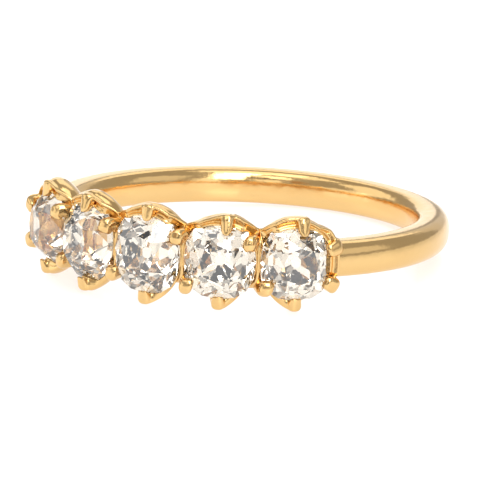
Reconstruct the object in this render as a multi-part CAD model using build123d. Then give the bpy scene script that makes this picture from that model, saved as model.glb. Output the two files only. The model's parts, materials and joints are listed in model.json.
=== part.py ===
"""Half hoop ring: five old mine cut stones in a row of coronet settings on a plain rounded band.

The ring is modelled round its finger hole: the hole runs along Z, the stones face -Y and the row runs
along X. It is then laid on its side as it rests by itself, on the foot claws of its end stones and on
the back of its band. Lengths are millimetres and angles are degrees.

The metal is soldered, so it is one solid, and each stone is a solid of its own.
"""
from build123d import *
from math import asin, atan2, cos, degrees, radians, sin
import os

# Finger hole and band
finger_radius = 8.65
band_thickness = 1.74
band_width = 1.84
band_dome = 0.58
band_inner_round = 0.42
band_outer_round = 0.42

# Stones, from the left end of the row to its right end: width along the row, length along the finger
stone_table = [
    # name, width, length
    ("stone_left_end", 3.64, 3.80),
    ("stone_left", 3.64, 4.00),
    ("stone_centre", 3.66, 4.12),
    ("stone_right", 3.62, 3.90),
    ("stone_right_end", 3.66, 3.84),
]
stone_gap = 0.14
crown_height = 0.98
pavilion_depth = 1.52
girdle_thickness = 0.10
culet_lift = 0.10
seat_clearance = 0.03

# Cut of the stones: the table, culet and facet heights are shares of each stone's outline and depth
corner_fullness = 2.5
table_share = 0.48
culet_share = 0.13
star_share = 0.40
lower_half_share = 0.76

# Coronet settings: an open cup under each stone, its rim cut in scallops between the claws
rim_margin = 0.20
rim_wall = 0.36
rim_height = 0.24
light_hole = 0.85
base_wall = 0.34
scallop_radius = 0.95
scallop_floor = -0.30
junction_scallop_floor = -0.50

# Under rail, which carries the settings and closes the finger hole below them
rail_thickness = 0.50
rail_width = 2.50
rail_taper = 2.20

# Claws: each is a bar that rises outside the stone's edge and folds over its crown
claw_width = 0.56
claw_thickness = 0.56
upper_claw_stand = 0.22
short_claw_stand = 0.32
claw_sink = 0.35
upper_claw_overlap = 0.60
foot_claw_overlap = 0.20
end_claw_overlap = 0.20
end_claw_angle = 34.0
shared_claw_width = 0.74
shared_claw_thickness = 0.50
shared_claw_place = 1.40
shared_claw_fold = 0.38
shared_claw_lean = 0.30

# Heights are shares of the crown above the girdle and of the cup below it. The others are shares of
# the claw's own stand, width, thickness and lean.
claw_foot = (-0.62, 1.40, 0.90)
upper_claw_table = [
    # height, stand, width, thickness
    (-0.20, 0.55, 1.30, 1.00),
    (0.22, 1.00, 1.00, 1.00),
    (0.52, 0.60, 0.84, 0.78),
]
upper_claw_tip = (0.72, 0.55, 0.42)
short_claw_table = [
    # height, stand, width, thickness
    (-0.20, 0.55, 1.30, 1.00),
    (0.20, 1.00, 1.05, 1.00),
]
short_claw_tip = (0.40, 0.90, 0.62)
shared_claw_foot = (-0.80, 1.00, 0.80)
shared_claw_table = [
    # height, width, thickness, lean
    (-0.20, 1.00, 1.00, 0.20),
    (0.16, 1.00, 1.00, 0.60),
]
shared_claw_tip = (0.66, 0.78, 0.74)

girdle_radius = finger_radius + culet_lift + pavilion_depth + girdle_thickness / 2
base_depth = girdle_radius - finger_radius
band_radius = finger_radius + band_thickness


def stone_angles():
    """Each stone's angle round the finger hole, from the chords between neighbours."""
    angles = [0.0]
    for (_, width, _), (_, next_width, _) in zip(stone_table, stone_table[1:]):
        chord = (width + next_width) / 2 + stone_gap
        angles.append(angles[-1] + degrees(2 * asin(chord / 2 / girdle_radius)))
    middle = (angles[0] + angles[-1]) / 2
    return [angle - middle for angle in angles]


def plane_at(angle, radius):
    """A plane that faces away from the finger: x runs along the row and y along the finger."""
    a = radians(angle)
    outward = Vector(sin(a), -cos(a), 0)
    return Plane(origin=outward * radius, x_dir=(cos(a), sin(a), 0), z_dir=outward)


def cushion_radius(half_width, half_length):
    """The corner radius that gives a rounded rectangle the fullness of the stones' outline."""
    bulge = 2 ** (0.5 - 1 / corner_fullness)
    share = (2 ** 0.5 - bulge) / (2 ** 0.5 - 1)
    return share * min(half_width, half_length)


def cushion_section(half_width, half_length, height):
    """A cushion outline of lines and arcs, level at a height."""
    corner = cushion_radius(half_width, half_length)
    return Pos(0, 0, height) * RectangleRounded(2 * half_width, 2 * half_length, corner)


def outline_point(half_width, half_length, angle):
    """A point of a stone's cushion outline."""
    c = cos(radians(angle))
    s = sin(radians(angle))
    power = 2 / corner_fullness
    x = half_width * abs(c) ** power * (1 if c >= 0 else -1)
    y = half_length * abs(s) ** power * (1 if s >= 0 else -1)
    return x, y


def outline_radius(half_width, half_length, angle):
    """How far a stone's cushion outline is from its axis, in a direction."""
    along = abs(cos(radians(angle)) / half_width) ** corner_fullness
    across = abs(sin(radians(angle)) / half_length) ** corner_fullness
    return (along + across) ** (-1 / corner_fullness)


def facet_plane(edge, tip):
    """The plane through a girdle point and a point above or below it, level across them."""
    across = Vector(-edge.Y, edge.X, 0)
    normal = (tip - edge).cross(across).normalized()
    return normal, normal.dot(edge)


def meet(first, second, height):
    """The point at a height where two facet planes meet."""
    a, d = first
    b, e = second
    d = d - a.Z * height
    e = e - b.Z * height
    det = a.X * b.Y - a.Y * b.X
    return Vector((d * b.Y - e * a.Y) / det, (a.X * e - b.X * d) / det, height)


def cut_stone(width, length, extra=0.0):
    """An old mine cut stone, its girdle level at zero: eight-fold crown and pavilion, open culet.

    With an extra it is the space that a stone takes in the metal, larger on every side.
    """
    half_width = width / 2 + extra
    half_length = length / 2 + extra
    half_girdle = girdle_thickness / 2 + extra
    top = half_girdle + crown_height
    bottom = -half_girdle - pavilion_depth
    corners = 8
    outline = [outline_point(half_width, half_length, 180 / corners * k) for k in range(2 * corners)]
    upper = [Vector(x, y, half_girdle) for x, y in outline]
    lower = [Vector(x, y, -half_girdle) for x, y in outline]
    table = [Vector(x * table_share, y * table_share, top) for x, y in outline[::2]]
    apex = Vector(0, 0, -half_girdle - pavilion_depth / (1 - culet_share))
    crown = [facet_plane(upper[2 * k], table[k]) for k in range(corners)]
    base = [facet_plane(lower[2 * k], apex) for k in range(corners)]
    star_height = top - star_share * crown_height
    keel_height = -half_girdle - lower_half_share * pavilion_depth
    around = [(k + 1) % corners for k in range(corners)]
    stars = [meet(crown[k], crown[n], star_height) for k, n in enumerate(around)]
    keels = [meet(base[k], base[n], keel_height) for k, n in enumerate(around)]
    culet = [meet(base[k], base[n], bottom) for k, n in enumerate(around)]
    facets = [table, culet[::-1]]
    for k, n in enumerate(around):
        here = 2 * k
        half = here + 1
        there = 2 * n
        facets += [
            [table[k], stars[k], table[n]],
            [table[k], stars[k - 1], upper[here], stars[k]],
            [stars[k], upper[here], upper[half]],
            [stars[k], upper[half], upper[there]],
            [upper[here], lower[here], lower[half], upper[half]],
            [upper[half], lower[half], lower[there], upper[there]],
            [keels[k], lower[half], lower[here]],
            [keels[k], lower[there], lower[half]],
            [culet[k - 1], culet[k], keels[k], lower[here], keels[k - 1]],
        ]
    return Solid(Shell([Face(Wire.make_polygon(points, close=True)) for points in facets]))


def wall_at(half, height):
    """How far a cup's outer wall stands from the stone's axis, at a height from the girdle."""
    foot = light_hole + base_wall
    rise = (height + base_depth) / base_depth
    return foot + (half + rim_margin - foot) * rise


def well(width, length, top):
    """The open space inside a cup, from the finger hole up to a height from the girdle."""
    low = -base_depth - rail_thickness
    inner_width = width / 2 + rim_margin - rim_wall
    inner_length = length / 2 + rim_margin - rim_wall
    rise = top * (inner_width - light_hole) / base_depth
    return loft([
        cushion_section(light_hole, light_hole, low),
        cushion_section(light_hole, light_hole, -base_depth),
        cushion_section(inner_width + rise, inner_length + rise, top),
    ], ruled=True)


def cup(width, length, neighbours):
    """A coronet cup: a tapering cushion wall whose rim dips between the six claws.

    Beside a neighbour, at step 0 or 3, the rim dips below the girdles, because the stones almost meet.
    """
    half_width = width / 2
    half_length = length / 2
    outside = loft([
        cushion_section(wall_at(half_width, -base_depth), wall_at(half_length, -base_depth), -base_depth),
        cushion_section(wall_at(half_width, rim_height), wall_at(half_length, rim_height), rim_height),
    ], ruled=True)
    cuts = [well(width, length, rim_height + scallop_radius)]
    for step in range(6):
        floor = junction_scallop_floor if step in neighbours else scallop_floor
        bite = Cylinder(scallop_radius, 2 * length, align=(Align.CENTER, Align.CENTER, Align.MIN))
        cuts.append(Rot(0, 0, 60 * step) * Pos(0, 0, floor + scallop_radius) * Rot(0, 90, 0) * bite)
    return outside - cuts


def height_at(share):
    """A height from the girdle: a share of the crown above it, or of the cup below it."""
    return share * (crown_height if share > 0 else base_depth)


def claw_bar(stations):
    """A claw lofted through oval sections: outward, height, width, thickness and lean at each."""
    sections = []
    for index, (out, height, width, thickness, lean) in enumerate(stations):
        before = stations[max(index - 1, 0)]
        after = stations[min(index + 1, len(stations) - 1)]
        run = Vector(after[0] - before[0], after[4] - before[4], after[1] - before[1]).normalized()
        plane = Plane(origin=(out, lean, height), x_dir=(0, 1, 0), z_dir=run)
        sections.append(plane * Ellipse(width / 2, thickness / 2))
    return loft(sections)


def edge_claw(edge, stand, overlap, table, tip):
    """A claw outside a stone's edge, along local x: it leaves the cup's wall, stands clear and folds inward."""
    share, wide, thick = claw_foot
    foot = wall_at(edge, height_at(share)) - claw_sink
    stations = [(foot, height_at(share), claw_width * wide, claw_thickness * thick, 0)]
    for share, out, wide, thick in table:
        stations.append((edge + stand * out, height_at(share), claw_width * wide, claw_thickness * thick, 0))
    share, wide, thick = tip
    stations.append((edge - overlap, height_at(share), claw_width * wide, claw_thickness * thick, 0))
    return claw_bar(stations)


def upper_claw(edge):
    """The long claw at 12 o'clock."""
    return edge_claw(edge, upper_claw_stand, upper_claw_overlap, upper_claw_table, upper_claw_tip)


def short_claw(edge, overlap):
    """A claw at 6 o'clock or at an end of the row."""
    return edge_claw(edge, short_claw_stand, overlap, short_claw_table, short_claw_tip)


def shared_claw():
    """A claw between two stones, along local x: it stands on the rail, and its tip leans to one side."""
    share, wide, thick = shared_claw_foot
    foot = (rail_width - shared_claw_thickness) / 2
    width = shared_claw_width
    thickness = shared_claw_thickness
    stations = [(foot, height_at(share), width * wide, thickness * thick, 0)]
    for share, wide, thick, lean in shared_claw_table:
        height = height_at(share)
        stations.append((shared_claw_place, height, width * wide, thickness * thick, shared_claw_lean * lean))
    share, wide, thick = shared_claw_tip
    tip = shared_claw_place - shared_claw_fold
    stations.append((tip, height_at(share), width * wide, thickness * thick, shared_claw_lean))
    return claw_bar(stations)


def band_section():
    """The band's section, x outward and y along the finger: flat inside, domed outside, soft edges."""
    half = band_width / 2
    spring = band_radius - band_dome
    sides = Polyline((spring, -half), (finger_radius, -half), (finger_radius, half), (spring, half))
    dome = ThreePointArc((spring, half), (band_radius, 0), (spring, -half))
    section = make_face([sides, dome])
    inner = section.vertices().filter_by_position(Axis.X, finger_radius - 0.01, finger_radius + 0.01)
    section = fillet(inner, band_inner_round)
    outer = section.vertices().filter_by_position(Axis.X, spring - 0.01, spring + 0.01)
    return fillet(outer, band_outer_round)


def turned(section, start, end):
    """A section turned about the finger hole between two angles, counted from the row's middle."""
    upright = Plane.XZ * section
    return revolve(Rot(0, 0, start - 90) * upright, Axis.Z, end - start)


def under_rail(start, end):
    """The strip under the cups, seen from the stones: full width in the middle, the band's at its ends."""
    outside = finger_radius + rail_thickness
    strip = Pos(finger_radius + rail_thickness / 2, 0) * Rectangle(rail_thickness, rail_width)
    tip = outside * sin(radians(end))
    shoulder = tip - rail_taper
    half = rail_width / 2
    narrow = band_width / 2
    outline = Polyline(
        (-tip, -narrow), (-shoulder, -half), (shoulder, -half), (tip, -narrow),
        (tip, narrow), (shoulder, half), (-shoulder, half), (-tip, narrow), close=True
    )
    return turned(strip, start, end) & extrude(Plane.XZ * make_face(outline), outside)


def setting(index):
    """One coronet with the claws that are its own, at the girdle plane of its stone."""
    last = len(stone_table) - 1
    _, width, length = stone_table[index]
    neighbours = [side for side, end in ((0, last), (3, 0)) if index != end]
    claws = [Rot(0, 0, 90) * upper_claw(length / 2), Rot(0, 0, 270) * short_claw(length / 2, foot_claw_overlap)]
    for side in (0, 180):
        if side // 60 not in neighbours:
            for turn in (side - end_claw_angle, side + end_claw_angle):
                edge = outline_radius(width / 2, length / 2, turn)
                claws.append(Rot(0, 0, turn) * short_claw(edge, end_claw_overlap))
    return cup(width, length, neighbours) + claws


def ring_mount(angles):
    """The soldered metal: band, rail, cups and claws, opened for the stones, the light and the finger."""
    end_width = stone_table[-1][1] / 2 + rim_margin - rim_wall
    reach = degrees(asin(end_width / girdle_radius))
    start = angles[0] - reach
    end = angles[-1] + reach
    seats = [plane_at(angle, girdle_radius) for angle in angles]
    wells = [seat * well(width, length, 0) for seat, (_, width, length) in zip(seats, stone_table)]
    notches = [
        seat * cut_stone(width, length, seat_clearance) for seat, (_, width, length) in zip(seats, stone_table)
    ]
    pieces = [turned(band_section(), end, 360 + start) - (wells + notches), under_rail(start, end) - wells]
    for index, seat in enumerate(seats):
        near = slice(max(index - 1, 0), index + 2)
        pieces.append(seat * setting(index) - (wells[near] + notches[near]))
    for index, (before, after) in enumerate(zip(angles, angles[1:])):
        joint = plane_at((before + after) / 2, girdle_radius)
        near = slice(index, index + 2)
        for turn in (90, 270):
            pieces.append(joint * Rot(0, 0, turn) * shared_claw() - (wells[near] + notches[near]))
    return pieces[0] + pieces[1:] - Cylinder(finger_radius, 4 * rail_width)


def rest_angle(angles):
    """How far the ring tips when it lies on its lowest foot claw and on the back of its band."""
    back = band_radius - band_dome
    tips = []
    for angle, (_, _, length) in zip(angles, stone_table):
        foot = length / 2 + short_claw_stand + claw_thickness / 2
        span = back + girdle_radius * cos(radians(angle))
        tips.append(degrees(atan2(foot - band_width / 2, span)))
    return max(tips)


angles = stone_angles()
mount = ring_mount(angles)
stones = {}
for angle, (name, width, length) in zip(angles, stone_table):
    stones[name] = plane_at(angle, girdle_radius) * cut_stone(width, length)

tip = rest_angle(angles)
laid = {name: Rot(-tip, 0, 0) * piece for name, piece in {"ring_mount": mount, **stones}.items()}
box = laid["ring_mount"].bounding_box()
for piece in stones:
    box = box.add(laid[piece].bounding_box())
shift = Pos(-box.center().X, -box.center().Y, -box.min.Z)

os.makedirs("parts", exist_ok=True)
for name, piece in laid.items():
    export_step(shift * piece, f"parts/{name}.step")

hole = shift * Rot(-tip, 0, 0) * Pos(0, 0, 0)
print("stone angles", [round(angle, 3) for angle in angles])
print("rest angle", round(tip, 3), "finger hole centre", hole.position, "box", box.size)
print("metal volume", round(mount.volume, 2), "solids", len(mount.solids()))
print("stone volumes", [round(piece.volume, 3) for piece in stones.values()])
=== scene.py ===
# %% [markdown]
# # A half hoop ring with five old mine cut diamonds
# The real ring was made in separate bits of gold: a rounded band, a rail under the stones, five open
# cups called coronets, and claws that fold over each stone. They were soldered together and polished.
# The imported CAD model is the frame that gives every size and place. The metal is made again here, with
# softer edges and finer claws, because a polished edge is what catches the light. The stones keep their
# CAD solids, because a cut stone is exactly its flat facets.

# %% Load the frame
import json
from math import asin, atan2, cos, degrees, pi, radians, sin

import bmesh
import bpy
import numpy as np
from mathutils import Matrix, Vector
from mathutils.bvhtree import BVHTree


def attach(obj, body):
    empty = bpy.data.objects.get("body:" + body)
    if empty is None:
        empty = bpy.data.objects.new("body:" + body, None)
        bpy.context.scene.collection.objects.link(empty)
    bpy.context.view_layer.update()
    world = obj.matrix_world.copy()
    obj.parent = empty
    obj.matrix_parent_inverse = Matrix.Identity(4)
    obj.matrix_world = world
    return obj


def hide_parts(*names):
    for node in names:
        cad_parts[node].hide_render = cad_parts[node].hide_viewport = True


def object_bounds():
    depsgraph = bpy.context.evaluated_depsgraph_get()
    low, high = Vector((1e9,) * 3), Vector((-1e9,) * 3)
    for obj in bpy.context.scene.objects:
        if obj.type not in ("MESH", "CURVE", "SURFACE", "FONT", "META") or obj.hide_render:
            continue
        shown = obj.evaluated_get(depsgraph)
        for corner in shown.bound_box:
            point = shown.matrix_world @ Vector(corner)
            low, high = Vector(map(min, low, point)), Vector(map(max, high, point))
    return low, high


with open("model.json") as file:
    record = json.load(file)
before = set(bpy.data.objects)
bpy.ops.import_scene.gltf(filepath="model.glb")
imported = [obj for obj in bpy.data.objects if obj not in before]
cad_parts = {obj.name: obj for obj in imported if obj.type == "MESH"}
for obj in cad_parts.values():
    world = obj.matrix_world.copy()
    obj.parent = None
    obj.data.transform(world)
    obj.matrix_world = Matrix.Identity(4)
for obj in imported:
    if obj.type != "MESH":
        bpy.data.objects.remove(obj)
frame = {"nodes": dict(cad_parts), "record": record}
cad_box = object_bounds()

print("nodes", sorted(frame["nodes"]))

# %% [markdown]
# ## A frame for the ring
# The ring lies on its side and tips a little, on its foot claws and the back of its band. It is much
# easier to model it as a jeweller holds it: the finger hole along Z, the stones facing -Y, in millimetres.
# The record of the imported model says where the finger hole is, and one matrix takes each finished mesh
# from the ring's own frame to the scene's metres.

# %% The ring's own frame
mm = 0.001
finger_hole = [mount for mount in frame["record"]["mounts"] if mount["name"] == "finger_hole"][0]
hole_centre = Vector(finger_hole["pos_m"])
hole_axis = Vector(finger_hole["axis"]).normalized()
row = Vector((1, 0, 0))
ring_turn = Matrix((row, hole_axis.cross(row), hole_axis)).transposed()
ring_place = Matrix.Translation(hole_centre) @ ring_turn.to_4x4() @ Matrix.Scale(mm, 4)
print("the ring tips by", round(degrees(hole_axis.angle(Vector((0, 0, 1)))), 2), "degrees")

# %% [markdown]
# ## Sizes
# These are the sizes that the CAD model was built from, in millimetres, so that the metal made here
# sits where the stones and the finger hole are. The five stones were cut by hand and no two are the
# same, so each has a row of its own. Their outlines are cushions, between an ellipse and a rectangle.

# %% Sizes of the band, the stones and the cups
finger_radius = 8.65
band_thickness = 1.732
band_width = 1.84
stone_table = [
    # node, width along the row, length along the finger
    ("stone_left_end", 3.64, 3.80),
    ("stone_left", 3.64, 4.00),
    ("stone_centre", 3.66, 4.12),
    ("stone_right", 3.62, 3.90),
    ("stone_right_end", 3.66, 3.84),
]
stone_gap = 0.14
crown_height = 0.98
girdle_radius = 10.32
cup_depth = girdle_radius - finger_radius
# an outline's power: 2 is an ellipse, and more is squarer
corner_fullness = 2.5
rim_margin = 0.20
light_hole = 0.85
base_wall = 0.34


def stone_angles():
    """Each stone's angle round the finger hole, from the chords between neighbours."""
    angles = [0.0]
    for (_, width, _), (_, next_width, _) in zip(stone_table, stone_table[1:]):
        chord = (width + next_width) / 2 + stone_gap
        angles.append(angles[-1] + degrees(2 * asin(chord / 2 / girdle_radius)))
    middle = (angles[0] + angles[-1]) / 2
    return [angle - middle for angle in angles]


def seat(angle, radius=girdle_radius):
    """The place of a stone's girdle: x along the row, y along the finger, z away from it."""
    a = radians(angle)
    outward = Vector((sin(a), -cos(a), 0))
    turn = Matrix(((cos(a), 0, outward.x), (sin(a), 0, outward.y), (0, 1, 0)))
    return Matrix.Translation(outward * radius) @ turn.to_4x4()


angles = stone_angles()
print("stones at", [round(angle, 1) for angle in angles], "degrees")

# %% [markdown]
# ## Gold
# The metal is 18 carat yellow gold, polished with a mop and then worn. A polished metal has hardly any
# colour of its own: it tints what it reflects. What tells gold from yellow plastic is a sharp reflection
# that is broken a little by fine scratches, which run every way on a worn ring. So the roughness comes
# from fine noise, the scratches are thin stretched noise, and a very low bump bends the reflections.

# %% Helpers for materials
def linear(hex_colour):
    """An sRGB hex colour as the linear colour that a shader takes."""
    parts = [int(hex_colour[i : i + 2], 16) / 255 for i in (1, 3, 5)]
    return tuple(c / 12.92 if c <= 0.04045 else ((c + 0.055) / 1.055) ** 2.4 for c in parts) + (1,)


def add(tree, kind, inputs=(), **settings):
    """Adds a node with its settings, and links or sets its inputs."""
    node = tree.nodes.new(kind)
    for name, value in settings.items():
        setattr(node, name, value)
    for name, value in dict(inputs).items():
        if isinstance(value, bpy.types.NodeSocket):
            tree.links.new(value, node.inputs[name])
        else:
            node.inputs[name].default_value = value
    return node


def new_material(name):
    """A material with a Principled shader, and its node tree and shader."""
    material = bpy.data.materials.new(name)
    material.use_nodes = True
    tree = material.node_tree
    return material, tree, tree.nodes["Principled BSDF"]


# %% Polished yellow gold, cast and soldered, then polished and worn
# The eye sees a warm, sharp mirror that wavers a little, with hair lines in the brightest places.
gold, tree, shader = new_material("yellow_gold_polished")
place = add(tree, "ShaderNodeTexCoord").outputs["Object"]
polish_grain = 0.35 * mm
tint_patch = 5 * mm
dent_size = 0.45 * mm
dent_depth = 0.05 * mm
# real scratches are a tenth as wide, and these are as coarse as they need to be to show
scratch_width = 0.05 * mm
scratch_depth = 0.02 * mm
scratch_stretch = 14
scratch_turns = ((0.3, 0.2, 0.5), (1.1, -0.4, 2.0), (-0.7, 0.9, -0.8))
grain = add(tree, "ShaderNodeTexNoise", {"Vector": place, "Scale": 1 / polish_grain, "Detail": 4})
patches = add(tree, "ShaderNodeTexNoise", {"Vector": place, "Scale": 1 / tint_patch, "Detail": 2})
dents = add(tree, "ShaderNodeTexNoise", {"Vector": place, "Scale": 1 / dent_size, "Detail": 1})
scratches = []
for turn in scratch_turns:
    turned = add(tree, "ShaderNodeMapping", {"Vector": place, "Rotation": turn})
    along = (1 / scratch_stretch, 1, 1)
    stretched = add(tree, "ShaderNodeMapping", {"Vector": turned.outputs[0], "Scale": along})
    lines = add(tree, "ShaderNodeTexNoise",
                {"Vector": stretched.outputs[0], "Scale": 1 / scratch_width, "Detail": 1})
    scratches.append(lines.outputs[0])
crossed = add(tree, "ShaderNodeMath", {0: scratches[0], 1: scratches[1]}, operation="MULTIPLY")
worn = add(tree, "ShaderNodeMath", {0: crossed.outputs[0], 1: scratches[2]}, operation="ADD")
roughness = add(tree, "ShaderNodeMapRange", {"Value": grain.outputs[0], "From Min": 0.3, "From Max": 0.7,
                                             "To Min": 0.11, "To Max": 0.20})
tint = add(tree, "ShaderNodeMix",
           {"Factor": patches.outputs[0], "A": linear("#EAC080"), "B": linear("#EEC88A")}, data_type="RGBA")
dented = add(tree, "ShaderNodeBump", {"Height": dents.outputs[0], "Strength": 0.22, "Distance": dent_depth})
bump = add(tree, "ShaderNodeBump", {"Height": worn.outputs[0], "Strength": 0.10, "Distance": scratch_depth,
                                    "Normal": dented.outputs[0]})
tree.links.new(tint.outputs["Result"], shader.inputs["Base Color"])
tree.links.new(roughness.outputs[0], shader.inputs["Roughness"])
tree.links.new(bump.outputs[0], shader.inputs["Normal"])
shader.inputs["Metallic"].default_value = 1.0
print(gold.name, "has", len(tree.nodes), "nodes and", len(scratches), "runs of scratches")

# %% [markdown]
# ## Diamond
# A diamond is clear, and its look is all refraction: light enters the crown, turns back off the pavilion
# and comes out through another facet. A shader with the real refractive index of 2.417 and no roughness
# does this by itself when the facets are real and flat, which is why nothing is painted on the stones.

# %% Diamond, cut and polished by hand
# The eye sees a clear stone, faintly warm, whose hand polished facets are not quite flat.
diamond, tree, shader = new_material("diamond_old_mine_cut")
place = add(tree, "ShaderNodeTexCoord").outputs["Object"]
wave_size = 1.2 * mm
wave_depth = 0.02 * mm
shader.inputs["Base Color"].default_value = linear("#F8EEDD")
shader.inputs["Transmission Weight"].default_value = 1.0
shader.inputs["IOR"].default_value = 2.417
shader.inputs["Roughness"].default_value = 0.0
waves = add(tree, "ShaderNodeTexNoise", {"Vector": place, "Scale": 1 / wave_size, "Detail": 1})
bump = add(tree, "ShaderNodeBump", {"Height": waves.outputs[0], "Strength": 0.05, "Distance": wave_depth})
tree.links.new(bump.outputs[0], shader.inputs["Normal"])

for name, _, _ in stone_table:
    for slot in frame["nodes"][name].material_slots:
        slot.material = diamond
print("diamond on", len(stone_table), "stones")

# %% [markdown]
# ## Meshes
# Every metal piece is a grid: rows of points that follow the piece, joined row by row. A claw is a row
# of sections along a bent path, closed at both ends. A cup is a loop of sections all the way round.
# Bits that are soldered together are made apart, joined in one mesh, and melted into one skin later.

# %% Helpers for meshes
def new_object(name, points, faces):
    """A gold object in the ring's own frame, in millimetres until it is finished."""
    mesh = bpy.data.meshes.new(name)
    mesh.from_pydata([tuple(point) for point in points], [], faces)
    mesh.update()
    obj = bpy.data.objects.new(name, mesh)
    bpy.context.scene.collection.objects.link(obj)
    mesh.materials.append(gold)
    return obj


def grid_faces(rows, columns, closed):
    """The faces of a grid whose rows are loops, and whose last row may meet its first."""
    faces = []
    for i in range(rows if closed else rows - 1):
        for j in range(columns):
            n = (j + 1) % columns
            k = (i + 1) % rows
            faces.append((i * columns + j, i * columns + n, k * columns + n, k * columns + j))
    return faces


def closed_bar(rows):
    """The points and faces of a bar whose rows are its sections, with a flat face at each end."""
    columns = len(rows[0])
    last_row = columns * (len(rows) - 1)
    ends = [tuple(range(columns - 1, -1, -1)), tuple(range(last_row, last_row + columns))]
    return [point for row in rows for point in row], grid_faces(len(rows), columns, False) + ends


def outline_radius(half_width, half_length, angle):
    """How far a stone's cushion outline is from its axis, in a direction in radians."""
    along = abs(cos(angle) / half_width) ** corner_fullness
    across = abs(sin(angle) / half_length) ** corner_fullness
    return (along + across) ** (-1 / corner_fullness)


def squarer(value, power):
    """A sine or cosine pushed outward, which turns a circle into a rounded square."""
    return abs(value) ** power * (1 if value >= 0 else -1)


# %% Helpers for objects
def outward_faces(obj):
    """Merges doubles and turns every face outward."""
    bm = bmesh.new()
    bm.from_mesh(obj.data)
    bmesh.ops.remove_doubles(bm, verts=bm.verts, dist=1e-5)
    bmesh.ops.recalc_face_normals(bm, faces=bm.faces)
    bm.to_mesh(obj.data)
    bm.free()


def keep_result(obj):
    """Makes what an object's modifiers give its own plain mesh."""
    bpy.context.view_layer.update()
    mesh = bpy.data.meshes.new_from_object(obj.evaluated_get(bpy.context.evaluated_depsgraph_get()))
    obj.modifiers.clear()
    obj.data = mesh


def apply_modifier(obj, kind, **settings):
    """Adds a modifier with its settings, and keeps its result."""
    modifier = obj.modifiers.new(kind.title(), kind)
    for name, value in settings.items():
        setattr(modifier, name, value)
    keep_result(obj)


def joined(name, parts):
    """One object made of several, whose meshes may pass through each other."""
    bm = bmesh.new()
    for part in parts:
        bm.from_mesh(part.data)
        bpy.data.objects.remove(part)
    mesh = bpy.data.meshes.new(name)
    bm.to_mesh(mesh)
    bm.free()
    obj = bpy.data.objects.new(name, mesh)
    bpy.context.scene.collection.objects.link(obj)
    mesh.materials.append(gold)
    return obj


def finish_piece(obj):
    """Shades a piece smooth, takes it to its place in the frame, and says what it is."""
    obj.data.transform(ring_place)
    obj.data.shade_smooth()
    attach(obj, "root")
    obj.data.calc_loop_triangles()
    print(obj.name, "has", len(obj.data.loop_triangles), "triangles")


# %% [markdown]
# ## Band
# The real band is a drawn wire, flatter inside, so that it lies on the finger, and rounder outside. It
# was bent round a mandrel. A curve with a section swept along it is the same idea, so Geometry Nodes
# make it: an arc for the wire's path, and a circle for its section, whose every point is pushed outward
# by a power of its distance from the middle. A power below 1 makes that side flatter.

# %% Helpers for Geometry Nodes
def new_tree(name, sizes):
    """A Geometry Nodes tree with named number inputs, and its input and output nodes."""
    group = bpy.data.node_groups.new(name, "GeometryNodeTree")
    group.interface.new_socket("Geometry", in_out="INPUT", socket_type="NodeSocketGeometry")
    for size in sizes:
        group.interface.new_socket(size, in_out="INPUT", socket_type="NodeSocketFloat")
    group.interface.new_socket("Geometry", in_out="OUTPUT", socket_type="NodeSocketGeometry")
    return group, group.nodes.new("NodeGroupInput"), group.nodes.new("NodeGroupOutput")


def end_tree(tree, geometry, output):
    """Ends a tree in real geometry made of gold."""
    whole = add(tree, "GeometryNodeRealizeInstances", {"Geometry": geometry})
    golden = add(tree, "GeometryNodeSetMaterial", {"Geometry": whole.outputs[0], "Material": gold})
    tree.links.new(golden.outputs[0], output.inputs[0])


def run_tree(obj, group, values):
    """Gives an object what a tree makes, as a plain mesh."""
    modifier = obj.modifiers.new(group.name, "NODES")
    modifier.node_group = group
    for item in group.interface.items_tree:
        if item.name in values:
            modifier[item.identifier] = values[item.name]
    keep_result(obj)


# %% The tree that sweeps the band
# the band runs on inside the first and the last cup, where solder holds it; nothing clears it from the
# stones there, and each of its ends cuts about 0.5 mm into one, which is a fault that is left
band_inset = 0.36
band_lap = 3
path_points = 361
section_points = 96
end_reach = degrees(asin((stone_table[-1][1] / 2 + rim_margin - band_inset) / girdle_radius))
band_end = angles[-1] + end_reach
band_sizes = {
    "Hole Radius": finger_radius,
    "Thickness": band_thickness,
    "Width": band_width,
    "Inside Flatness": 0.58,
    "Outside Flatness": 0.72,
    "Side Flatness": 0.80,
    "Start": radians(band_end - 90 - band_lap),
    "Sweep": radians(360 - 2 * band_end + 2 * band_lap),
}
band_tree, given, made = new_tree("band sweep", band_sizes)
size = given.outputs
middle = add(band_tree, "ShaderNodeMath", {0: size["Thickness"], 1: 0.5, 2: size["Hole Radius"]},
             operation="MULTIPLY_ADD")
path = add(band_tree, "GeometryNodeCurveArc", {"Resolution": path_points, "Radius": middle.outputs[0],
                                               "Start Angle": size["Start"], "Sweep Angle": size["Sweep"]})
circle = add(band_tree, "GeometryNodeCurvePrimitiveCircle", {"Resolution": section_points, "Radius": 1.0})
at = add(band_tree, "GeometryNodeInputPosition")
axes = add(band_tree, "ShaderNodeSeparateXYZ", {"Vector": at.outputs[0]})
is_outside = add(band_tree, "ShaderNodeMath", {0: axes.outputs["X"], 1: 0.0}, operation="GREATER_THAN")
flatness = add(band_tree, "ShaderNodeMix", {"Factor": is_outside.outputs[0], "A": size["Inside Flatness"],
                                            "B": size["Outside Flatness"]})
pushed = {}
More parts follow.
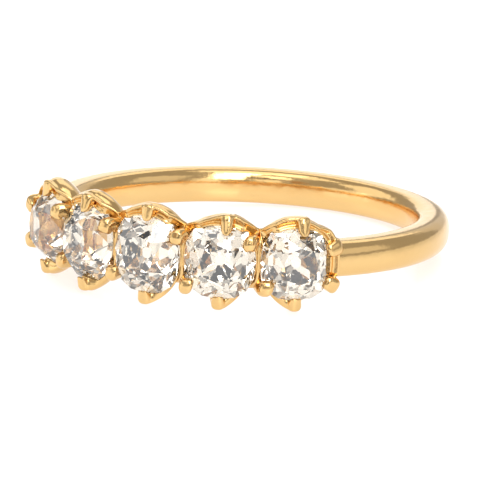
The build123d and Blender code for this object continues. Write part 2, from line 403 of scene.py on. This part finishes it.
for axis, power, across in (("X", flatness.outputs[0], size["Thickness"]),
                            ("Y", size["Side Flatness"], size["Width"])):
    away = axes.outputs[axis]
    side = add(band_tree, "ShaderNodeMath", {0: away}, operation="SIGN").outputs[0]
    away = add(band_tree, "ShaderNodeMath", {0: away}, operation="ABSOLUTE").outputs[0]
    for operation, by in (("POWER", power), ("MULTIPLY", side), ("MULTIPLY", across), ("MULTIPLY", 0.5)):
        away = add(band_tree, "ShaderNodeMath", {0: away, 1: by}, operation=operation).outputs[0]
    pushed[axis] = away
section = add(band_tree, "ShaderNodeCombineXYZ", pushed)
shaped = add(band_tree, "GeometryNodeSetPosition",
             {"Geometry": circle.outputs[0], "Position": section.outputs[0]})
even = add(band_tree, "GeometryNodeResampleCurve", {"Curve": shaped.outputs[0], "Count": section_points})
swept = add(band_tree, "GeometryNodeCurveToMesh",
            {"Curve": path.outputs[0], "Profile Curve": even.outputs[0], "Fill Caps": True})
end_tree(band_tree, swept.outputs[0], made)
print("the band's tree has", len(band_tree.nodes), "nodes")

# %% The band
band = new_object("band", [], [])
run_tree(band, band_tree, band_sizes)
outward_faces(band)
spread = np.array([vertex.co for vertex in band.data.vertices])
reach = np.hypot(spread[:, 0], spread[:, 1])
print("band radius from", reach.min().round(3), "to", reach.max().round(3))
print("band width", np.ptp(spread[:, 2]).round(3))
finish_piece(band)

# %% [markdown]
# ## Coronets
# Each stone sits in a cup that a jeweller files from a short cone of gold. The upper lip is high at the
# claw and dips in a valley where two cups meet, and it has a thin edge, a bevel, a groove and a bead that
# laps over the stone. Below, a wing of the rim rises to the foot claw. The wall swells like a barrel, and
# daylight reaches the stone through the open foot. All of this is a rule of the direction round the
# stone, so the cup is a grid: round the stone in one direction, and up the outside, over the lip and down
# the inside in the other. Each cup was filed by hand, so the tables give each its own reaches.

# %% Sizes of the upper lip
# reach from the stone's edge, and height above its girdle, in millimetres
claw_lip = (0.45, 0.48)
joint_lip = (0.06, -0.05)
valley_lip = (0.50, -0.28)
valley_side = (0.28, -0.26)
end_lip = (0.36, 0.30)
# directions in degrees, from the row towards the upper claw
lip_turns = (75, 60, 45)
lip_heights = (0.45, 0.34, -0.15)
claw_half = 5
valley_turn = 41
valley_side_turn = 36
joint_turns = (-20, 0, 28)
end_turns = (-35, -20, 0, 20, 45)
lip_reaches = (
    # each cup's reaches at the three directions on the right of its claw, then on the left
    (0.42, 0.42, 0.50, 0.30, 0.24, 0.36),
    (0.42, 0.40, 0.50, 0.30, 0.24, 0.45),
    (0.44, 0.38, 0.45, 0.30, 0.24, 0.45),
    (0.50, 0.42, 0.42, 0.26, 0.20, 0.40),
    (0.25, 0.14, 0.18, 0.46, 0.38, 0.38),
)
last = len(stone_table) - 1


def lip_table(index, claw_turn):
    """The upper lip all the way over one cup: rows of direction, reach and height."""
    reaches = lip_reaches[index]
    rows = list(zip(lip_turns, reaches[:3], lip_heights))
    rows += [(180 - turn, reach, height) for turn, reach, height in zip(lip_turns, reaches[3:], lip_heights)]
    rows += [(claw_turn - claw_half, *claw_lip), (claw_turn + claw_half, *claw_lip)]
    for side, is_end in ((0, index == last), (180, index == 0)):
        away = 1 if side == 0 else -1
        if is_end:
            rows = [row for row in rows if row[0] != side + away * lip_turns[-1]]
            rows += [(side + away * turn, *end_lip) for turn in end_turns]
        else:
            rows.append((side + away * valley_turn, *valley_lip))
            rows.append((side + away * valley_side_turn, *valley_side))
            rows += [(side + away * turn, *joint_lip) for turn in joint_turns]
    return np.array(sorted(rows))


# %% The section of the upper lip
groove_height = 0.12
groove_out = 0.03
bead_height = 0.27
least_drop = 0.02
# points of the thin edge and the bevel from the lip's reach and top, then of the bead from the stone's edge
lip_section = ((0, -0.24), (0, -0.10), (-0.02, -0.03), (-0.06, 0), (-0.11, -0.01), (-0.15, -0.05))
bead_section = ((-0.07, -0.03), (-0.13, 0), (-0.20, -0.08))


def upper_edge(girdle, lip, top):
    """The upper lip's section: a thin edge, a bevel down to a groove, and a bead over the stone."""
    groove = min(groove_height, top - least_drop)
    bead = min(bead_height, top)
    section = [(lip + out, top + high) for out, high in lip_section]
    bevel_out, bevel_height = section[-1]
    section.append(((bevel_out + girdle + groove_out) / 2, (bevel_height + groove) / 2))
    section.append((girdle + groove_out, groove))
    return section + [(girdle + out, bead + high) for out, high in bead_section]


# %% The section of the wings at the foot claw
# height of the rim and its reach from the stone's edge, in the dips and at the claw
rim_dip = -0.50
rim_foot = 0.10
dip_out = -0.12
foot_out = 0.48
wing_round = 0.07
wing_power = 1.25
wing_fill = 3
foot_turn = 270
foot_flat = 7
seat_height = -0.04
# how far the stone's edge leans in: at the girdle, and for each millimetre below and above it
lower_lean = 0.04
pavilion_lean = 0.7
crown_lean = 0.9


def wing_lift(angle, before, after):
    """How far a wing has risen to the foot claw in a direction: 1 at the claw, 0 in the dips."""
    away = (degrees(angle) - foot_turn + 180) % 360 - 180
    reach = before if away < 0 else after
    away = max(abs(away) - foot_flat, 0)
    return (1 - away / reach) ** wing_power if away < reach else 0.0


def lower_edge(girdle, lift, raised, count):
    """The lower rim's section, as a number of points: a rounded wing that is filled up to the stone."""
    wing_top = rim_dip + (rim_foot + raised - rim_dip) * lift
    outer = girdle + dip_out + (foot_out - dip_out) * lift
    crest = wing_top - wing_round
    filled = max(crest - least_drop, seat_height)
    inner = girdle - lower_lean + min(wing_top, 0) * pavilion_lean - max(filled, 0) * crown_lean
    inner_height = crest + (filled - crest) * min(lift * wing_fill, 1)
    section = []
    for t in np.linspace(0, pi, count):
        across = (1 - cos(t)) / 2
        height = crest + (inner_height - crest) * across + wing_round * sin(t)
        section.append((outer + (inner - outer) * across, height))
    return section


# %% The wall and the whole cup
around = 240
wall_steps = 14
inside_steps = 12
wall_foot = 0.36
# the wall is a cone with a swelling, which is fullest a little above its middle
full_depth = -0.70
full_extra = 0.08
lower_swell = 0.8
swell_rise = 1.15
swell_round = 0.85
# the rim turns from the lower to the upper kind where the sine of the direction grows past this
upper_from = -0.75
upper_blend = 0.5


def wall_section(foot, edge_out, edge_height, girdle, fullness, upper):
    """The outside of the wall, from the cup's foot up to its rim."""
    cone = foot + (edge_out - foot) * (full_depth + cup_depth) / (edge_height + cup_depth)
    barrel = max(girdle + (edge_out - girdle) * fullness, cone)
    full = barrel + (barrel - cone) * full_extra
    share = lower_swell + (1 - lower_swell) * upper
    section = []
    for t in np.linspace(0, 1, wall_steps, endpoint=False):
        swell = (full - cone) * share * sin(pi * t**swell_rise) ** swell_round
        height = -cup_depth + (edge_height + cup_depth) * t
        section.append((foot + (edge_out - foot) * t + swell, height))
    return section


def cup_grid(width, length, lips, fullness, wings, raised):
    """The points and faces of a cup, closed round its rim and its foot."""
    rows = []
    for i in range(around):
        angle = 2 * pi * i / around
        turn = (degrees(angle) + 90) % 360 - 90
        girdle = outline_radius(width / 2, length / 2, angle)
        foot = outline_radius(light_hole + base_wall, light_hole + base_wall, angle)
        upper = min(max((sin(angle) - upper_from) / upper_blend, 0), 1)
        lip = girdle + np.interp(turn, lips[:, 0], lips[:, 1])
        above = upper_edge(girdle, lip, np.interp(turn, lips[:, 0], lips[:, 2]))
        below = lower_edge(girdle, wing_lift(angle, *wings), raised, len(above))
        edge = [tuple(b + (a - b) * upper for a, b in zip(*pair)) for pair in zip(above, below)]
        profile = wall_section(foot, *edge[0], girdle, fullness, upper) + edge
        rim_out, rim_height = edge[-1]
        for t in np.linspace(0, 1, inside_steps)[1:]:
            out = rim_out + (foot - wall_foot - rim_out) * t
            profile.append((out, rim_height + (-cup_depth - rim_height) * t))
        rows.append([(r * cos(angle), r * sin(angle), z) for r, z in profile])
    return [point for line in rows for point in line], grid_faces(around, len(rows[0]), True)


# %% [markdown]
# ## Claws
# A claw is soldered into the cup's wall, stands clear of the stone's edge, and is bent over the crown
# with a pusher. The upper, foot and shared claws are straps with a flat back and rounded corners, filed
# to a taper at the tip. The four claws at the ends of the row are thinner wires, squared a little with a
# file. Both are sections along a path, so a short table of sections says all of a claw.

# %% Where a claw starts
wall_claw_start = -1.0
claw_bite = 0.45


def wall_at(edge, height):
    """How far a cup's plain wall stands from the stone's axis, at a height from the girdle."""
    foot = light_hole + base_wall
    return foot + (edge + rim_margin - foot) * (height + cup_depth) / cup_depth


# %% Upper and foot claws, as straps
# how far to the side, as a share of half the width, and what share of the thickness, round the section
strap_section = ((-1, 0), (-1, 0.45), (-0.92, 0.70), (-0.68, 0.90), (-0.30, 1),
                 (0.30, 1), (0.68, 0.90), (0.92, 0.70), (1, 0.45), (1, 0))
# outer side from the stone's edge and its height, inner side and its height, share of the width
upper_claw_table = (
    (0.34, -0.30, -0.10, -0.30, 1.00),
    (0.465, 0.20, 0.05, 0.10, 1.00),
    (0.475, 0.48, 0.08, 0.20, 1.00),
    (0.40, 0.60, 0.04, 0.26, 1.00),
)
foot_claw_table = (
    (0.48, -0.50, -0.10, -0.50, 1.10),
    (0.56, 0.00, 0.05, -0.05, 1.08),
    (0.52, 0.19, 0.05, 0.02, 1.06),
    (0.44, 0.27, 0.00, 0.05, 1.02),
    (0.12, 0.35, -0.04, 0.08, 0.92),
    (-0.15, 0.40, -0.16, 0.16, 0.78),
)
upper_claw_top = 0.60
upper_claw_inset = 0.05
# the tip lies on the crown, whose height grows from its edge inward
tip_base = 0.33
tip_rise = 0.93
# outer side from the stone's edge, share of the overlap, share of the fall to the tip, inner side from the
# edge and its height, share of the width
upper_tip_table = (
    (0.20, 0, 0.35, -0.06, 0.26, 0.97),
    (0, 0.60, 0.85, 0, 0.30, 0.80),
    (0, 1, 1, 0.02, 0.34, 0.42),
)
foot_claw_start = -1.15
foot_claw_out = 0.24
foot_claw_spread = 1.15


def strap(stations, width):
    """A strap along local x: outer side and height, inner side and height, share of the width, and lean."""
    rows = []
    for out, height, inner, inner_height, share, lean in stations:
        rows.append([(inner + (out - inner) * depth, lean + side * share * width / 2,
                      inner_height + (height - inner_height) * depth) for side, depth in strap_section])
    return closed_bar(rows)


def upper_claw(edge, width, overlap):
    """A claw on the upper side, filed to a taper over the stone."""
    fall = tip_base + tip_rise * overlap - upper_claw_top
    root = wall_at(edge, wall_claw_start)
    stations = [(root - upper_claw_inset, wall_claw_start, root - claw_bite, wall_claw_start, 1.00, 0)]
    stations += [(edge + out, height, edge + inner, inner_height, share, 0)
                 for out, height, inner, inner_height, share in upper_claw_table]
    for out, lap, fallen, inner, inner_height, share in upper_tip_table:
        inward = edge - overlap * lap
        height = upper_claw_top + fall * fallen
        stations.append((inward + out, height, inward + inner, inner_height, share, 0))
    return strap(stations, width)


def foot_claw(edge, width, raised):
    """A claw on the side that the ring lies on: short and broad, hardly over the stone."""
    inner_start = wall_at(edge, wall_claw_start) - claw_bite
    start = foot_claw_start + raised
    stations = [(edge + foot_claw_out, start, inner_start, start, foot_claw_spread, 0)]
    stations += [(edge + out, height + raised, edge + inner, inner_height + raised, share, 0)
                 for out, height, inner, inner_height, share in foot_claw_table]
    return strap(stations, width)


# %% End claws, as squared wires
claw_width = 0.56
claw_thickness = 0.56
claw_squareness = 2.7
claw_steps = 8
claw_sides = 32
tip_dome = 0.42
dome_rings = (0.45, 0.8, 0.97)


def smooth_path(stations, steps):
    """Stations joined by a smooth curve through each of them, as rows of numbers."""
    table = np.array(stations, float)
    table = np.vstack([2 * table[0] - table[1], table, 2 * table[-1] - table[-2]])
    out = []
    for i in range(1, len(table) - 2):
        p0, p1, p2, p3 = table[i - 1 : i + 3]
        for t in np.linspace(0, 1, steps, endpoint=False):
            out.append(0.5 * (2 * p1 + (p2 - p0) * t + (2 * p0 - 5 * p1 + 4 * p2 - p3) * t**2
                              + (3 * p1 - p0 - 3 * p2 + p3) * t**3))
    out.append(table[-2])
    return np.array(out)


def wire_claw(stations):
    """A closed bar with a domed tip: each station is outward, height, width and thickness."""
    path = smooth_path(stations, claw_steps)
    runs = np.gradient(path[:, :2], axis=0)
    rows = []
    for (out, height, width, thickness), (run_out, run_height) in zip(path, runs):
        run = Vector((run_out, 0, run_height)).normalized()
        face = Vector((0, 1, 0)).cross(run).normalized()
        across = run.cross(face)
        centre = Vector((out, 0, height))
        row = []
        for k in range(claw_sides):
            turn = 2 * pi * k / claw_sides
            beside = squarer(cos(turn), 2 / claw_squareness) * width / 2
            lift = squarer(sin(turn), 2 / claw_squareness) * thickness / 2
            row.append(centre + across * beside + face * lift)
        rows.append(row)
    centre = sum(rows[-1], Vector()) / claw_sides
    tip = run * (thickness * tip_dome)
    end_row = rows[-1]
    for t in dome_rings:
        rows.append([centre + (point - centre) * (1 - t**2) ** 0.5 + tip * t for point in end_row])
    points = [point for row in rows for point in row]
    faces = grid_faces(len(rows), claw_sides, False)
    points += [sum(rows[0], Vector()) / claw_sides, centre + tip]
    end = (len(rows) - 1) * claw_sides
    for k in range(claw_sides):
        n = (k + 1) % claw_sides
        faces += [(n, k, len(points) - 2), (end + k, end + n, len(points) - 1)]
    return points, faces


# %% The four claws at the ends of the row
wire_claw_start = -0.62
wire_claw_bite = 0.35
wire_claw_spread = 1.40
wire_claw_flat = 0.90
end_claw_stand = 0.24
end_claws = {
    # the cup, then its two directions, sections, tip and overlap on the stone: a section is a share of the
    # crown's height (of the cup's, when negative), of the stand, of the width and of the thickness, and
    # the tip has no stand
    0: ((157, 211), ((-0.20, 0.55, 1.50, 1.00), (0.30, 1.10, 1.42, 1.10), (0.66, 0.70, 1.30, 0.95)),
        (0.74, 1.10, 0.62), 0.26),
    last: ((-31, 23), ((-0.20, 0.55, 1.50, 1.00), (0.18, 1.00, 1.42, 1.10)), (0.42, 1.26, 1.00), 0.16),
}


def height_at(share):
    """A height from the girdle: a share of the crown above it, or of the cup below it."""
    return share * (crown_height if share > 0 else cup_depth)


def end_claw(edge, table, tip, overlap):
    """A claw outside a stone's edge at the end of the row, along local x."""
    start = height_at(wire_claw_start)
    stations = [(wall_at(edge, start) - wire_claw_bite, start,
                 claw_width * wire_claw_spread, claw_thickness * wire_claw_flat)]
    for share, out, wide, thick in table:
        stations.append((edge + end_claw_stand * out, height_at(share),
                         claw_width * wide, claw_thickness * thick))
    share, wide, thick = tip
    stations.append((edge - overlap, height_at(share), claw_width * wide, claw_thickness * thick))
    return wire_claw(stations)


# %% [markdown]
# ## Solder and polish
# Solder fills each corner where two bits of gold meet, and the polishing mop softens every edge. A voxel
# remesh of the bits does the same: it melts them into one skin, and a few rounds of smoothing round the
# corners. Then any point that ended up in a stone is moved out to the stone's surface, as a real seat
# is cut to fit. Only points are moved, so a face between them still cuts a facet's edge, by up to 0.16 mm.
# Cutting the metal with slightly grown stones would be the closer way.

# %% Melting bits together and clearing the stones
# the gap that is left between metal and stone, and how far a point looks for a stone
seat_gap = 0.012
search_reach = 0.8
# a point outside a facet is left alone where it is further along the facet's normal than this share of its
# distance and this slack
outside_share = 0.2
outside_slack = 0.001


def melt(obj, voxel, rounds):
    """Melts an object's crossing shells into one skin and softens its edges."""
    apply_modifier(obj, "REMESH", mode="VOXEL", voxel_size=voxel, use_smooth_shade=True)
    apply_modifier(obj, "SMOOTH", factor=0.5, iterations=rounds)


def stone_tree(name):
    """A stone's facets in the ring's own frame, for finding what is inside it."""
    bm = bmesh.new()
    bm.from_mesh(frame["nodes"][name].data)
    bmesh.ops.remove_doubles(bm, verts=bm.verts, dist=1e-8)
    bmesh.ops.transform(bm, matrix=ring_place.inverted(), verts=bm.verts)
    tree = BVHTree.FromBMesh(bm)
    bm.free()
    return tree


def clear_stones(obj, trees):
    """Moves any point of the metal that is inside a stone out to its surface."""
    moved = 0
    for vertex in obj.data.vertices:
        for tree in trees:
            near, normal, _, away = tree.find_nearest(vertex.co, search_reach)
            if near is None:
                continue
            # negative inside the stone
            height = (vertex.co - near).dot(normal)
            if height < seat_gap and height < away * outside_share + outside_slack:
                vertex.co = near + normal * seat_gap
                moved += 1
    print(obj.name, "had", moved, "points moved out of the stones")


stone_trees = [stone_tree(name) for name, _, _ in stone_table]

# %% The five coronets, each a cup with its own claws
upper_claw_stand = 0.22
foot_width = 0.64
upper_claws = (
    # each upper claw's shift along the row, width and overlap on the stone
    (0.05, 0.70, 0.36),
    (0.20, 0.70, 0.46),
    (0.14, 0.68, 0.36),
    (0.33, 0.72, 0.54),
    (0.20, 0.70, 0.48),
)
# how much higher each foot claw and its wings are than the lowest ones
foot_raises = (0.26, 0.18, 0.06, 0.0, 0.0)
# how far the wings reach before and after each foot claw, in degrees
foot_wings = ((12, 60), (10, 50), (10, 38), (11, 34), (44, 10))
# how full each cup's wall is, as a share of its lip's reach
wall_fullness = (0.80, 0.78, 0.45, 0.35, 0.35)

for index, (name, width, length) in enumerate(stone_table):
    shift, wide, overlap = upper_claws[index]
    lips = lip_table(index, degrees(atan2(length / 2 + upper_claw_stand, shift)))
    raised = foot_raises[index]
    bits = [
        # shift along the row, turn, and the bit's points and faces
        (0, 0, cup_grid(width, length, lips, wall_fullness[index], foot_wings[index], raised)),
        (shift, 90, upper_claw(length / 2, wide, overlap)),
        (0, foot_turn, foot_claw(length / 2, foot_width, raised)),
    ]
    if index in end_claws:
        turns, *sections = end_claws[index]
        for turn in turns:
            edge = outline_radius(width / 2, length / 2, radians(turn))
            bits.append((0, turn, end_claw(edge, *sections)))
    parts = []
    for along, turn, (points, faces) in bits:
        part = new_object("bit", points, faces)
        part.data.transform(Matrix.Translation((along, 0, 0)) @ Matrix.Rotation(radians(turn), 4, "Z"))
        parts.append(part)
    coronet = joined(name.replace("stone", "coronet"), parts)
    outward_faces(coronet)
    melt(coronet, voxel=0.04, rounds=4)
    coronet.data.transform(seat(angles[index]))
    clear_stones(coronet, stone_trees[max(index - 1, 0) : index + 2])
    finish_piece(coronet)

# %% [markdown]
# ## Claws between the stones
# Eight claws stand where two cups meet, one above and one below at each joint, and each holds down both
# stones. Their heads are broad pads that lean to one side. They are the same claw, so Geometry Nodes put
# one mesh at every joint, turned to face out. The real ones were set by hand, so each is shifted a little.

# %% One shared claw, and the tree that places it
shared_width = 0.72
# outer side and its height, inner side and its height, share of the width, and lean to one side
shared_claw_table = (
    (1.35, -1.30, 0.75, -1.30, 0.90, 0.00),
    (1.62, -0.30, 1.00, -0.35, 1.00, 0.08),
    (1.66, 0.35, 1.05, 0.10, 1.00, 0.20),
    (1.62, 0.58, 1.00, 0.30, 1.00, 0.28),
    (1.50, 0.74, 0.95, 0.40, 1.00, 0.32),
    (1.22, 0.80, 0.88, 0.42, 1.00, 0.36),
    (1.02, 0.78, 0.84, 0.44, 0.88, 0.37),
    (0.90, 0.70, 0.80, 0.46, 0.62, 0.37),
)
one_claw = new_object("one_claw", *strap(shared_claw_table, shared_width))
outward_faces(one_claw)
melt(one_claw, voxel=0.030, rounds=9)

claw_tree, given, made = new_tree("claws at the joints", [])
facing = add(claw_tree, "GeometryNodeInputNamedAttribute", {"Name": "facing"}, data_type="FLOAT_VECTOR")
source = add(claw_tree, "GeometryNodeObjectInfo", {"Object": one_claw})
placed = add(claw_tree, "GeometryNodeInstanceOnPoints",
             {"Points": given.outputs[0], "Instance": source.outputs["Geometry"],
              "Rotation": facing.outputs[0]})
end_tree(claw_tree, placed.outputs[0], made)
print("one shared claw has", len(one_claw.data.vertices), "points")

# %% The claws at the four joints
claw_shifts = [
    # the upper claw's shift along the row and along the finger, then the lower claw's
    (-0.05, -0.17, 0.00, -0.09),
    (0.00, -0.15, -0.10, 0.00),
    (0.15, -0.15, 0.08, -0.11),
    (-0.16, -0.22, 0.10, 0.00),
]
places = []
turns = []
for before, after, shifts in zip(angles, angles[1:], claw_shifts):
    joint = seat((before + after) / 2)
    for turn, along, across in ((90, *shifts[:2]), (270, *shifts[2:])):
        places.append(joint @ Vector((along, across, 0)))
        turns.append((joint @ Matrix.Rotation(radians(turn), 4, "Z")).to_euler("XYZ"))
shared = new_object("claws_between_stones", places, [])
facings = shared.data.attributes.new("facing", "FLOAT_VECTOR", "POINT")
facings.data.foreach_set("vector", [value for turn in turns for value in turn])
run_tree(shared, claw_tree, {})
bpy.data.objects.remove(one_claw)
clear_stones(shared, stone_trees)
finish_piece(shared)

# %% [markdown]
# ## Webs
# Where two round cups stand side by side, a wedge of solder and gold fills the space between them, thin
# between the stones and wider above and below. It is what keeps the row stiff. Its width is the gap that
# the two cushion outlines leave, so it is worked out from them, section by section along the finger.

# %% The webs between neighbouring cups
# the least and most width, the heights of top and foot from the girdle, and the reach along the finger
web_least = 0.20
web_most = 1.34
web_top = 0.10
web_foot = -0.80
web_reach = 1.64
# how much the top sinks as the web widens, and for each millimetre past the shoulder
web_sag = 0.20
web_drop = 0.70
web_shoulder = 1.05
# how much the web narrows below its middle, and how much shorter it is for each millimetre of depth
web_taper = 0.6
web_slope = 0.22
web_roundness = 0.6
web_rows = 40
web_sides = 32
webs = []
for (_, width, length), before, after in zip(stone_table, angles, angles[1:]):
    rows = []
    for y in np.linspace(-web_reach, web_reach, web_rows):
        share = 1 - min(abs(y) / (length / 2), 1) ** corner_fullness
        beside = share ** (1 / corner_fullness) * width / 2
        gap = min(2 * (width / 2 + stone_gap / 2 - beside) + web_least - stone_gap, web_most)
        top = web_top - web_sag * (gap - web_least) - web_drop * max(abs(y) - web_shoulder, 0)
        row = []
        for k in range(web_sides):
            turn = 2 * pi * k / web_sides
            across = squarer(cos(turn), web_roundness)
            high = squarer(sin(turn), web_roundness)
            taper = 1 if high > 0 else 1 + high * web_taper
            z = (top + web_foot) / 2 + high * (top - web_foot) / 2
            row.append((across * gap / 2 * taper, y * (1 + web_slope * min(z, 0)), z))
        rows.append(row)
    web = new_object("web", *closed_bar(rows))
    outward_faces(web)
    web.data.transform(seat((before + after) / 2))
    webs.append(web)
web = joined("webs_between_cups", webs)
melt(web, voxel=0.035, rounds=3)
clear_stones(web, stone_trees)
finish_piece(web)

# %% [markdown]
# ## Rail
# A strip of gold runs under the cups and closes the finger hole below them. It narrows to the band's
# width at both ends. Each cup is open through it, so that light and water get out: the holes are cut
# with a boolean before the strip is melted, which rounds their edges as a drill and a mop would.

# %% The rail under the cups
rail_thickness = 0.50
rail_width = 2.50
rail_taper = 2.20
rail_sections = 120
rail_outside = finger_radius + rail_thickness
rail_end = radians(band_end)
rows = []
for angle in np.linspace(-rail_end, rail_end, rail_sections):
    from_end = (sin(rail_end) - abs(sin(angle))) * rail_outside
    narrow = min(max((rail_taper - from_end) / rail_taper, 0), 1)
    half = (rail_width + (band_width - rail_width) * narrow) / 2
    row = []
    for radius, side in ((finger_radius, -1), (rail_outside, -1), (rail_outside, 1), (finger_radius, 1)):
        row.append((radius * sin(angle), -radius * cos(angle), half * side))
    rows.append(row)
rail = new_object("rail_under_cups", *closed_bar(rows))
outward_faces(rail)

# %% The light holes
hole_from = -0.4
hole_to = 1.2
hole_sides = 48
holes = []
for angle in angles:
    rows = []
    for height in (hole_from, hole_to):
        row = []
        for t in np.linspace(0, 2 * pi, hole_sides, endpoint=False):
            radius = outline_radius(light_hole, light_hole, t)
            row.append((radius * cos(t), radius * sin(t), height))
        rows.append(row)
    hole = new_object("hole", *closed_bar(rows))
    outward_faces(hole)
    hole.data.transform(seat(angle, finger_radius))
    holes.append(hole)
hole = joined("holes", holes)
apply_modifier(rail, "BOOLEAN", operation="DIFFERENCE", object=hole, solver="EXACT")
bpy.data.objects.remove(hole)
melt(rail, voxel=0.045, rounds=5)
finish_piece(rail)

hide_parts("ring_mount")

# %% [markdown]
# ## Floor, light and camera
# Jewellery is photographed on a white ground under soft lights. Here the ring lies on lit white acrylic,
# under one large soft light and a number of smaller panels all round, because polished gold shows nothing
# but what is round it. Tan and dark cards give the facets and the claws something to contrast with.

# %% Floor
# The floor's glow is turned down to the right of the picture. This is a painted shade on the floor, which
# the band's end reflects, and it keeps that end from paling.
floor_material, tree, shader = new_material("lit_white_acrylic")
shader.inputs["Base Color"].default_value = linear("#A8A8A8")
shader.inputs["Roughness"].default_value = 0.25
shader.inputs["Emission Color"].default_value = linear("#FFFFFF")
camera_azimuth = 28.569
floor_size = 3.0
painted_shade_from = 14 * mm
painted_shade_to = 26 * mm
place = add(tree, "ShaderNodeTexCoord").outputs["Object"]
beside = (cos(radians(camera_azimuth)), sin(radians(camera_azimuth)), 0)
across = add(tree, "ShaderNodeVectorMath", {0: place, 1: beside}, operation="DOT_PRODUCT")
# painted shade: the floor's glow falls from 0.68 to 0.44 across this span
painted_floor_shade = add(tree, "ShaderNodeMapRange", {"Value": across.outputs["Value"], "From Min": painted_shade_from,
                                        "From Max": painted_shade_to, "To Min": 0.68, "To Max": 0.44})
tree.links.new(painted_floor_shade.outputs[0], shader.inputs["Emission Strength"])
bpy.ops.mesh.primitive_plane_add(size=floor_size, location=(0, 0, cad_box[0][2]))
floor = bpy.context.object
floor.name = "floor"
floor.data.materials.append(floor_material)


# %% Camera
def around_ring(azimuth, elevation, distance):
    """A place round the ring: azimuth 0 is in front, and 90 is at the right."""
    a = radians(azimuth)
    e = radians(elevation)
    return Vector((sin(a) * cos(e), -cos(a) * cos(e), sin(e))) * distance


camera_elevation = 16.298
camera_distance = 0.300
focal_pixels = 5866.6
image_pixels = 480
sensor = 36.0
# where the middle of the finger hole is in the picture
hole_pixel = (246.31, 220.18)

back = around_ring(camera_azimuth, camera_elevation, 1)
right = Vector((0, 0, 1)).cross(back).normalized()
up = back.cross(right)
pixel = camera_distance / focal_pixels
aside = right * (hole_pixel[0] - image_pixels / 2) * pixel
aloft = up * (hole_pixel[1] - image_pixels / 2) * pixel
aim = hole_centre - aside + aloft
camera_data = bpy.data.cameras.new("camera")
camera_data.lens = focal_pixels / image_pixels * sensor
camera_data.sensor_width = sensor
camera_data.clip_start = 0.01
camera_data.clip_end = 20
camera = bpy.data.objects.new("camera", camera_data)
turn = Matrix((right, up, back)).transposed().to_4x4()
camera.matrix_world = Matrix.Translation(aim + back * camera_distance) @ turn
bpy.context.scene.collection.objects.link(camera)
bpy.context.scene.camera = camera
print("camera at", [round(value, 3) for value in aim + back * camera_distance])


# %% Soft lights
def soft_light(name, azimuth, elevation, distance, width, height, brightness):
    """A rectangular soft box that faces the ring, as bright in its reflections as its brightness says."""
    data = bpy.data.lights.new(name, "AREA")
    data.shape = "RECTANGLE"
    data.size = width
    data.size_y = height
    data.energy = brightness * pi * width * height
    light = bpy.data.objects.new(name, data)
    light.location = around_ring(azimuth, elevation, distance)
    light.rotation_euler = (-light.location).to_track_quat("-Z", "Y").to_euler()
    bpy.context.scene.collection.objects.link(light)


soft_lights = (
    # name, azimuth, elevation, distance, width, height, brightness
    ("top_box", 20, 88, 0.50, 0.34, 0.34, 1.2),
    ("window_box", 44, 46, 0.45, 0.17, 0.46, 4.8),
    ("right_panel", 98, 24, 0.50, 0.36, 0.26, 0.42),
    ("left_panel", -75, 28, 0.50, 0.36, 0.34, 0.80),
    ("grey_panel_behind", 184, 14, 0.50, 0.26, 0.24, 0.28),
    ("white_panel_behind", 217, 12, 0.50, 0.24, 0.20, 0.85),
    ("front_box", 6, 44, 0.50, 0.14, 0.16, 2.0),
    ("upper_left_panel", -46, 66, 0.50, 0.26, 0.22, 0.85),
    ("low_right_panel", 57, 13, 0.50, 0.16, 0.14, 0.85),
    ("low_front_panel", 14, 20, 0.50, 0.16, 0.12, 0.90),
    ("low_left_panel", -42, 8, 0.50, 0.42, 0.12, 0.72),
    ("high_panel_behind", 200, 40, 0.50, 0.36, 0.22, 0.9),
)
for light in soft_lights:
    soft_light(*light)
print(len(soft_lights), "soft lights")


# %% Cards to be reflected
def card(name, colour, azimuth, elevation, distance, width, height):
    """A matt paper card that stands outside the picture and faces the ring."""
    material, _, shader = new_material(name)
    shader.inputs["Base Color"].default_value = linear(colour)
    shader.inputs["Roughness"].default_value = 0.9
    place = around_ring(azimuth, elevation, distance)
    turn = (-place).to_track_quat("-Z", "Y").to_matrix().to_4x4()
    corners = [Matrix.Translation(place) @ turn @ Vector((x * width / 2, y * height / 2, 0))
               for x, y in ((-1, -1), (1, -1), (1, 1), (-1, 1))]
    mesh = bpy.data.meshes.new(name)
    mesh.from_pydata(corners, [], [(0, 1, 2, 3)])
    mesh.materials.append(material)
    obj = bpy.data.objects.new(name, mesh)
    bpy.context.scene.collection.objects.link(obj)


cards = (
    # name, colour, azimuth, elevation, distance, width, height
    ("dark_card", "#1C1610", 28, 9, 0.42, 0.09, 0.07),
    ("tan_card_left", "#B98A50", -8, 24, 0.42, 0.06, 0.10),
    ("tan_card_right", "#B98A50", 72, 5, 0.42, 0.05, 0.07),
    ("small_dark_card", "#1C1610", 19, 32, 0.42, 0.11, 0.075),
)
for one_card in cards:
    card(*one_card)
print(len(cards), "cards")

# %% The studio's air, and how light is counted
world = bpy.data.worlds.new("studio")
bpy.context.scene.world = world
world.use_nodes = True
background = world.node_tree.nodes["Background"]
background.inputs["Color"].default_value = linear("#FFFFFF")
background.inputs["Strength"].default_value = 0.44

scene = bpy.context.scene
scene.view_settings.view_transform = "Standard"
# a ray has to turn many times inside a stone before it comes out
scene.cycles.max_bounces = 24
scene.cycles.transmission_bounces = 16
scene.cycles.glossy_bounces = 8
